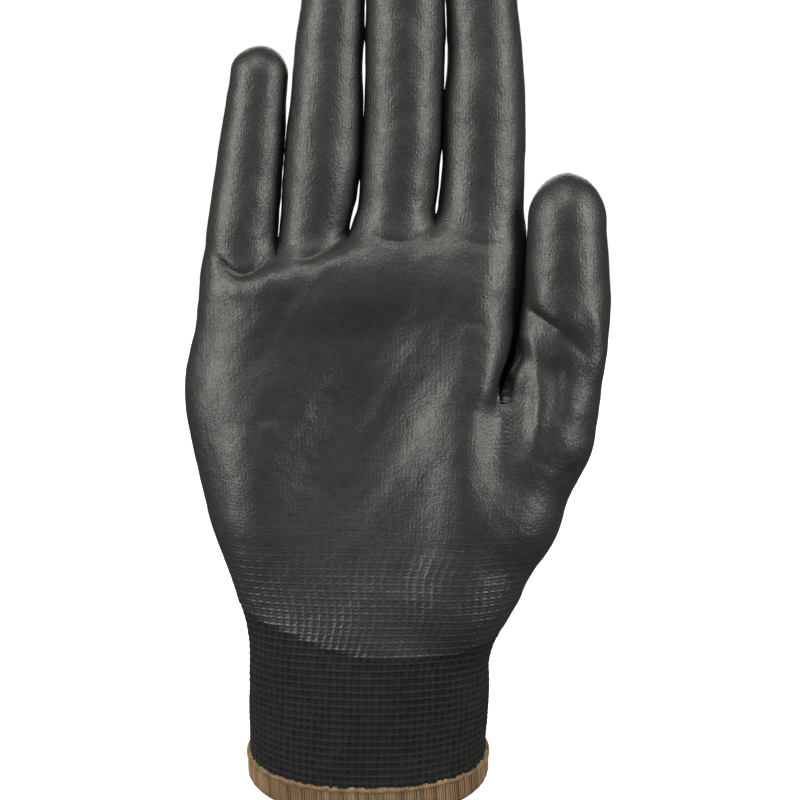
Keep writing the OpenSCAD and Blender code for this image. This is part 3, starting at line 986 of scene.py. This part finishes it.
def low_film():
    """The film below the seam, with the knit printing through it."""
    a, b = rows_of(WRIST_TOP, SEAM)
    m = film_mask(BASE)
    out_h, in_h = film_heights(m)
    keep = ss(0.3, 2.5, m)
    print_h = (HEIGHT * (1 - keep) + SHOWS * (0.62 - 0.3 * ss(50, 66, ZB)) * keep) * GEO
    outer = BASE + BASE_N * (out_h + RELIEF + print_h)[..., None]
    inner = BASE + BASE_N * (in_h + RELIEF + print_h)[..., None]
    # how much the knit shows through; in the film's colour it also lays on painted light: a lighter lower
    # palm, painted highlight on lines, painted shade in holes
    show = 1 - ss(45, 95, ZB)
    grids = [q[a : b + 1] for q in (m, outer, inner, grid_normals(outer), BASE_N, KU, KW, show)]
    m, *points = [q.reshape(-1, *q.shape[2:]) for q in grids]
    faces = masked(grid_faces(b - a + 1, COLS), m, -0.35)
    parts, outer, inner, outer_n, inner_n, ku, kw, show = keep_used([faces], *points)
    verts, parts = close_shell(outer, inner, parts)
    return new_object("palm_film_low", verts, parts, FILM_MAT,
                      {"ku": two(ku), "kw": two(kw), "kamt": two(show)}, np.concatenate([outer_n, -inner_n]))


film = low_film()
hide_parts("palm_coating")
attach(film, "hand")


# ---------------------------------------------------------------- upper hand
def knit_counts(v):
    """Wale and course counts at points above the seam, for both sheets."""
    wale_width = 1.95 + 0.5 * ss(30, 120, v[:, 2])
    return {"ku": two(v[:, 0] / wale_width), "kw": two(v[:, 2] / COURSE)}


def upper_sheet(step):
    """The palm's and the back's surface from the seam to where each digit's own cloth starts."""
    verts, faces = surface_nets(hand, (-57, -30, 68.2), (72, 27, 162), step)
    verts = onto(hand, verts)
    down = np.zeros_like(verts)
    down[:, 2] = -1
    verts, faces = trim(hand, verts, faces, SEAM - verts[:, 2], down)
    for i, n in enumerate(DIGITS):
        d = DIGIT[n]
        near = np.stack([digit(verts, q) for q in DIGITS], 1)
        mine = near.argmin(1) == i
        if n == "thumb":
            line = web_line(verts[:, 2]) + 0.8 + 1.2 * ss(2.0, 6.0, verts[:, 1])
            mine = (verts[:, 0] > line) & (mine | (verts[:, 2] < 117.5))
        mine &= verts[:, 2] > 96
        over = np.where(mine, (verts - d.o) @ d.d - d.zones[0][0], -1.0)
        if n == "thumb":
            far_over = over > 1.3 * step
            faces = faces[~far_over[faces].any(1)]
        verts, faces = trim(hand, verts, faces, over, np.broadcast_to(d.d, verts.shape).copy())
    return verts, faces


def upper_knit():
    v, f = upper_sheet(1.0)
    n, _ = gradient(hand, v)
    h = relief(v, n)
    outer = v + n * (h - COAT)[:, None]
    inner = v + n * (h - COAT - KNIT)[:, None]
    verts, parts = close_shell(outer, inner, [f])
    back = ss(-0.2, 0.35, n[:, 1])
    # kamt on the back draws the stitches, with painted shade in the holes and painted highlight on the course
    # lines
    attributes = knit_counts(v) | {"kamt": np.concatenate([back * 0.9, back * 0.7]), "thread": 0.38}
    normals = np.concatenate([bent_normals(relief, v, n), -n])
    ob = new_object("hand_knit_upper", verts, parts, KNIT_MAT, attributes, normals)
    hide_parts("hand_liner")
    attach(ob, "hand")


def upper_film():
    v, f = upper_sheet(0.62)
    n, _ = gradient(hand, v)
    mask = film_mask(v)
    parts, v, n, mask = keep_used([masked(f, mask, -0.3)], v, n, mask)
    h = relief(v, n)
    out_h, in_h = film_heights(mask)
    verts, parts = close_shell(v + n * (h + out_h)[:, None], v + n * (h + in_h)[:, None], parts)

    def lifted(p, d):
        return relief(p, d) + film_heights(film_mask(p))[0]

    # kamt: how much the knit shows through, also laying painted light on the film's lower palm and on the
    # knit's print
    attributes = knit_counts(v) | {"kamt": two(1 - ss(45, 95, v[:, 2]))}
    normals = np.concatenate([bent_normals(lifted, v, n), -n])
    ob = new_object("palm_film_upper", verts, parts, FILM_MAT, attributes, normals)
    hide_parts("palm_coating")
    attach(ob, "hand")


upper_knit()
upper_film()


# ---------------------------------------------------------------- fingers and thumb
AROUND = 104
THETA = np.arange(AROUND) / AROUND * 2 * math.pi - math.pi
CAP_DEGREES = np.array([4, 8, 13, 18, 24, 30, 36, 42, 49, 56, 63, 70, 77, 83.5, 89.2])
# material, slot, ending of the CAD node's name, and how the stitches are drawn, on the knit with their
# painted shade and highlight
KINDS = {
    "knit": (KNIT_MAT, "knit", "liner", {"kamt": 0.9, "thread": 0.38}),
    "film": (FILM_MAT, "coating", "coating", {"kamt": 0.0}),
}


def digit_rows(d):
    """Heights of the rows along a digit, and the rows at which its pieces of cloth meet."""
    stops = sorted({round(s, 4) for zone in d.zones for s in zone}) + [d.top]
    rows, marks = [stops[0] - 1.2, stops[0] - 0.6], [2]
    for a, b in zip(stops, stops[1:]):
        count = max(3, int(round((b - a) / 0.6)))
        rows += list(np.linspace(a, b, count + 1)[:-1])
        marks.append(len(rows))
    return np.array(rows + [d.top]), marks


def digit_surface(name):
    """A digit's skin as rows and columns of points, their outward directions, and the row marks."""
    d = DIGIT[name]
    rows, marks = digit_rows(d)
    ring = -np.cos(THETA)[:, None] * d.b + np.sin(THETA)[:, None] * d.a
    caps = np.radians(CAP_DEGREES)[:, None, None]
    direction = np.concatenate([
        np.broadcast_to(ring, (len(rows), AROUND, 3)), np.cos(caps) * ring + np.sin(caps) * d.d])
    heights = np.concatenate([rows, np.full(len(CAP_DEGREES), d.top)])
    origin = np.broadcast_to(d.centre(heights)[:, None, :], direction.shape)
    base = on_rays(lambda q: own(q, name), origin, direction, 22.0, 36 if name == "thumb" else 0)
    n, _ = gradient(lambda q: own(q, name), base)
    return base, n, marks


def digit_sheets(d, base, n):
    """Outer and inner grids of the knit and of the film, and the film's mask."""
    along_s = (base - d.o) @ d.d
    h = relief(base, n)
    # soft creases over the joints, deepest on the palm side
    for start, end in d.zones[1:]:
        bow = along_s - (start + end) / 2 + 1.2 * np.cos(THETA)
        h = h - 0.13 * np.exp(-0.5 * (bow / 2.2) ** 2) * ss(0.1, 0.8, np.cos(THETA))
    # coating: all but a strip down the back, and all of the tip
    reach = 11.0 * (math.pi - np.abs(THETA))
    bare = 10.4 * ss(d.top + 3.0, d.top - 3.5, along_s) - 12 * ss(d.top - 1.0, d.top + 3.5, along_s)
    mask = reach - bare - 0.2 + (0.5 * noise(base, 10.0, 41) + 0.2 * noise(base, 3.2, 42))
    out_h, in_h = film_heights(mask)
    offsets = {"knit": (h - COAT, h - COAT - KNIT), "film": (h + out_h, h + in_h)}
    return {kind: [base + n * q[..., None] for q in pair] for kind, pair in offsets.items()}, mask


def digit_pieces(name):
    """One digit: a knit and a film piece for each fold, left in place on no body, and each segment, which
    rides on its body.
    """
    d = DIGIT[name]
    base, n, marks = digit_surface(name)
    sheets, mask = digit_sheets(d, base, n)
    ku = np.broadcast_to(11.0 * THETA / 1.95, mask.shape)
    kw = ((base - d.o) @ d.d) / COURSE
    pieces = []
    for i, (hinge, segment) in enumerate(zip(HINGES[name], SEGS[name])):
        pieces += [(f"{name}_{hinge}_fold", i, True), (f"{name}_{segment}", i, False)]
    bodies = ["hand"] + [f"{name}_{segment}" for segment in SEGS[name]]
    for q, (label, i, fold) in enumerate(pieces):
        tip = q == len(pieces) - 1
        a, b = marks[q], len(base) - 1 if tip else marks[q + 1]
        quads = grid_faces(b - a + 1, AROUND)
        j = np.arange(AROUND)
        last = (b - a) * AROUND
        fan = np.stack([last + j, last + (j + 1) % AROUND, np.full(AROUND, last + AROUND)], 1)

        def flat(v):
            """The piece's rows as a list of points, with a pole at the digit's end."""
            v = v[a : b + 1].reshape(-1, *v.shape[2:])
            return np.concatenate([v, v[-AROUND:].mean(0, keepdims=True)]) if tip else v

        for kind, (outer, inner) in sheets.items():
            outer_n = grid_normals(outer)
            outer_n[-1] = d.d
            parts = [quads, fan] if tip else [quads]
            if kind == "film":
                parts = [masked(f, flat(mask), -0.3) for f in parts]
            verts, parts = close_shell(flat(outer), flat(inner), parts)
            normals = np.concatenate([flat(outer_n), -flat(n)])
            parts, verts, normals, ku_, kw_ = keep_used(parts, verts, normals, two(flat(ku)), two(flat(kw)))
            mat, slot, ending, looks = KINDS[kind]
            attributes = {"ku": ku_, "kw": kw_} | looks
            slot = "fold_fabric" if fold else slot
            ob = new_object(f"{label}_{kind}_cloth", verts, parts, mat, attributes, normals)
            if fold:
                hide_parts(label)
                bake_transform(ob)
            else:
                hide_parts(f"{label}_{ending}")
                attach(ob, bodies[i + 1])


for digit_name in DIGITS:
    digit_pieces(digit_name)


# ---------------------------------------------------------------- hem and elastic
SECTION = section_rows(np.array([4.0]))[0][:, :2]  # the cuff seen from above, its way round and its way out
STEP = np.roll(SECTION, -1, 0) - np.roll(SECTION, 1, 0)
STEP /= np.linalg.norm(STEP, axis=1, keepdims=True)
OUT = np.stack([STEP[:, 1], -STEP[:, 0]], 1)


THREAD_SIDES = 6
STITCHES = 256  # overlock stitches round the hem
# one stitch once round the raw edge, down the outside, under, up the inside and back through the cloth:
# mm out of the cloth, mm above the hem line, and its lean along the edge
STITCH_LOOP = np.array([
    (-0.6, 5.5, 0.0), (-0.1, 5.55, 0.1), (0.28, 5.2, 0.25), (0.36, 4.3, 0.45), (0.38, 3.3, 0.7),
    (0.38, 2.3, 0.95), (0.38, 1.3, 1.2), (0.36, 0.4, 1.4), (0.2, -0.12, 1.5), (-0.2, -0.38, 1.5),
    (-0.6, -0.45, 1.5), (-1.0, -0.38, 1.5), (-1.4, -0.12, 1.5), (-1.56, 0.5, 1.35), (-1.58, 1.6, 1.1),
    (-1.58, 2.8, 0.8), (-1.56, 4.0, 0.5), (-1.48, 5.1, 0.2), (-1.1, 5.5, 0.0),
]).T


def on_cuff(k, w, off):
    """Point at column k, height w above the hem line and off mm out of the cloth."""
    k = np.asarray(k, float)
    i = np.floor(k).astype(int)
    t = (k - i)[..., None]
    at = SECTION[i % COLS] * (1 - t) + SECTION[(i + 1) % COLS] * t
    out = OUT[i % COLS] * (1 - t) + OUT[(i + 1) % COLS] * t
    xy = at + out * np.asarray(off)[..., None]
    z = w + at[..., 1] * row_slope(w)
    return np.concatenate([xy, z[..., None]], -1), np.concatenate([out, np.zeros_like(out[..., :1])], -1)


def tubes(path, side, radius, sides=THREAD_SIDES):
    """Closed threads; path is (threads, points, 3) and side points across each thread."""
    t = np.roll(path, -1, 1) - np.roll(path, 1, 1)
    t /= np.maximum(np.linalg.norm(t, axis=-1, keepdims=True), 1e-9)
    u = side - (side * t).sum(-1, keepdims=True) * t
    u /= np.linalg.norm(u, axis=-1, keepdims=True)
    v = np.cross(t, u)
    a = np.arange(sides) / sides * 2 * math.pi
    ring = np.cos(a)[:, None] * u[:, :, None, :] + np.sin(a)[:, None] * v[:, :, None, :]
    verts = path[:, :, None, :] + ring * np.asarray(radius)[..., None, None]
    m, n = path.shape[:2]
    i = np.arange(m)[:, None, None] * n * sides
    j = np.arange(n)[None, :, None]
    k = np.arange(sides)[None, None, :]
    k2 = (k + 1) % sides
    here, ahead = i + j * sides, i + (j + 1) % n * sides
    faces = np.stack(np.broadcast_arrays(here + k, here + k2, ahead + k2, ahead + k), -1)
    return verts.reshape(-1, 3), [faces.reshape(-1, 4)]


def hem_threads():
    """The overlock stitches, each a closed loop of thread."""
    j = np.arange(STITCHES)
    line = np.stack([j, 0 * j, 0 * j], -1)
    lively, lively2 = noise(line, 1.3, 51), noise(line, 2.1, 52)
    off, up, lean = STITCH_LOOP
    k = j[:, None] * (COLS / STITCHES) + lean * 1.5 + 0.45 * lively[:, None]
    w = up + 0.22 * lively2[:, None] * (up > 3)
    path, _ = on_cuff(k, w, off + 0.07 * lively[:, None] * np.sign(off + 0.6))
    side = STEP[np.floor(k).astype(int) % COLS]
    side = np.concatenate([side, np.zeros_like(side[..., :1])], -1)
    verts, parts = tubes(path, side, 0.36 * (1 + 0.12 * lively2)[:, None])
    tone = np.repeat(np.clip(0.5 + 0.4 * lively + 0.2 * lively2, 0, 1), len(off) * THREAD_SIDES)
    ob = new_object("hem_overlock_thread", verts, parts, HEM_MAT, {"thread": tone})
    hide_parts("hem_overlock")
    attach(ob, "cuff")


def hem_locks():
    """The locking threads that run round the top of the stitches and round the edge."""
    steps = 8
    n = STITCHES * steps
    turns = np.arange(n) / steps * 2 * math.pi
    k = np.arange(n) / n * COLS
    for label, level, out, rise, sway in (
            ("outer", 5.15, 0.62, 0.32, 0.16), ("edge", -0.5, -0.45, 0.28, 0.28)):
        path, outward = on_cuff(k, level + rise * np.sin(turns), out + sway * np.cos(turns))
        verts, parts = tubes(path[None], outward[None], 0.26)
        tone = 0.62 + 0.2 * np.sin(np.repeat(turns / (2 * math.pi), THREAD_SIDES))
        ob = new_object(f"hem_{label}_lock", verts, parts, HEM_MAT, {"thread": tone})
        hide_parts("hem_overlock")
        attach(ob, "cuff")


def hem_band():
    """The folded edge of the cuff under the stitches, a rounded rectangle swept round it."""
    a = np.arange(16) / 16 * 2 * math.pi
    off = -0.6 + 0.78 * np.sign(np.cos(a)) * np.abs(np.cos(a)) ** 0.5
    up = 2.7 + 2.7 * np.sign(np.sin(a)) * np.abs(np.sin(a)) ** 0.6
    k = np.arange(0, COLS, 2.0)
    path, _ = on_cuff(k[:, None], up[None, :], off[None, :])
    r = np.arange(16)
    last = (len(k) - 1) * 16
    closing = np.stack([last + r, last + (r + 1) % 16, (r + 1) % 16, r], 1)
    parts = [np.concatenate([grid_faces(len(k), 16), closing])]
    ob = new_object("hem_edge_band", path.reshape(-1, 3), parts, HEM_MAT, {"thread": 0.1})
    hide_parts("hem_overlock")
    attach(ob, "cuff")


def elastic():
    """Three rings of elastic inside the cuff, swinging with its stitches."""
    q = np.arange(COLS)
    paths, sides = [], []
    for c in range(3):
        level = 12.7 + 1.8 * c
        path, outward = on_cuff(q, level, -1.5)
        path[:, 2] = level + 0.12 * np.sin(q / PER * 2 * math.pi)
        paths.append(path)
        sides.append(outward)
    verts, parts = tubes(np.stack(paths), np.stack(sides), 0.26)
    ob = new_object("cuff_elastic_courses", verts, parts, ELASTIC_MAT, {"thread": 0.5})
    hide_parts("cuff_elastic")
    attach(ob, "cuff")


hem_threads()
hem_locks()
hem_band()
elastic()


# ---------------------------------------------------------------- stage, lights and camera
FLOOR_Z = -0.0079  # just under the hem, m
REACH = 1.45  # from the glove to each wall, m
TARGET = Vector((0.009, 0.0, 0.1066))  # what the camera and the lights point at


def studio_piece(name, verts, faces, material, place=(0, 0, 0)):
    """Part of the stage: seen by the camera, and without light or reflections on the glove."""
    me = bpy.data.meshes.new(name)
    me.from_pydata(verts, [], faces)
    me.materials.append(material)
    ob = bpy.data.objects.new(name, me)
    bpy.context.scene.collection.objects.link(ob)
    ob.location = place
    ob.visible_diffuse = False
    ob.visible_glossy = False
    return ob


def floor_material():
    mat = bpy.data.materials.new("studio_floor")
    mat.use_nodes = True
    inputs = mat.node_tree.nodes["Principled BSDF"].inputs
    inputs["Base Color"].default_value = rgb(0.5, 0.5, 0.5)
    inputs["Roughness"].default_value = 0.9
    inputs["Emission Color"].default_value = rgb(1, 1, 1)
    inputs["Emission Strength"].default_value = 0.98
    return mat


def wall_material():
    mat = bpy.data.materials.new("studio_backdrop")
    mat.use_nodes = True
    tree = mat.node_tree
    tree.nodes.clear()
    glow = tree.nodes.new("ShaderNodeEmission")
    glow.inputs["Color"].default_value = rgb(1, 1, 1)
    glow.inputs["Strength"].default_value = 1.05
    tree.links.new(glow.outputs[0], tree.nodes.new("ShaderNodeOutputMaterial").inputs[0])
    return mat


def square(half, z):
    return [(-half, -half, z), (half, -half, z), (half, half, z), (-half, half, z)]


floor = studio_piece("studio_floor", square(1.5, 0), [(0, 1, 2, 3)], floor_material(), (0, 0, FLOOR_Z))
# four pale walls, so that the glove stands in the same studio from every side
backdrop = studio_piece(
    "studio_backdrop", square(REACH, FLOOR_Z - 0.001) + square(REACH, 2.4),
    [(i, (i + 1) % 4, (i + 1) % 4 + 4, i + 4) for i in range(4)], wall_material())


def softbox(name, azimuth, elevation, distance, width, height, power):
    """An area light that points at the glove; azimuth 0 is the camera's side, lengths in metres."""
    a, e = math.radians(azimuth), math.radians(elevation)
    back = Vector((math.sin(a) * math.cos(e), -math.cos(a) * math.cos(e), math.sin(e)))
    data = bpy.data.lights.new(name, "AREA")
    data.shape = "RECTANGLE"
    data.size = width
    data.size_y = height
    data.energy = power
    data.color = (1.0, 1.0, 0.95)
    ob = bpy.data.objects.new(name, data)
    bpy.context.scene.collection.objects.link(ob)
    ob.location = TARGET + back * distance
    ob.rotation_mode = "QUATERNION"
    ob.rotation_quaternion = (-back).to_track_quat("-Z", "Y")


softbox("softbox_left", -60, 14, 0.95, 0.34, 0.9, 12.8)
softbox("softbox_right", 60, 14, 0.95, 0.30, 0.9, 12.6)
softbox("softbox_top", -14, 56, 1.1, 0.5, 0.4, 7.0)
softbox("softbox_back", 180, 24, 1.1, 0.9, 0.7, 9.0)

world = bpy.data.worlds.new("studio")
bpy.context.scene.world = world
world.use_nodes = True
sky = world.node_tree.nodes["Background"].inputs
sky["Color"].default_value = rgb(1, 1, 1)
sky["Strength"].default_value = 0.065

camera_data = bpy.data.cameras.new("camera")
camera_data.lens = 96.4
camera_data.sensor_width = 36.0
camera = bpy.data.objects.new("camera", camera_data)
bpy.context.scene.collection.objects.link(camera)
tilt = math.radians(9)
camera.location = TARGET + 0.6 * Vector((0, -math.cos(tilt), math.sin(tilt)))
camera.rotation_mode = "QUATERNION"
camera.rotation_quaternion = (TARGET - camera.location).to_track_quat("-Z", "Y")
bpy.context.scene.camera = camera
bpy.context.scene.view_settings.view_transform = "Standard"
bpy.context.scene.view_settings.look = "None"
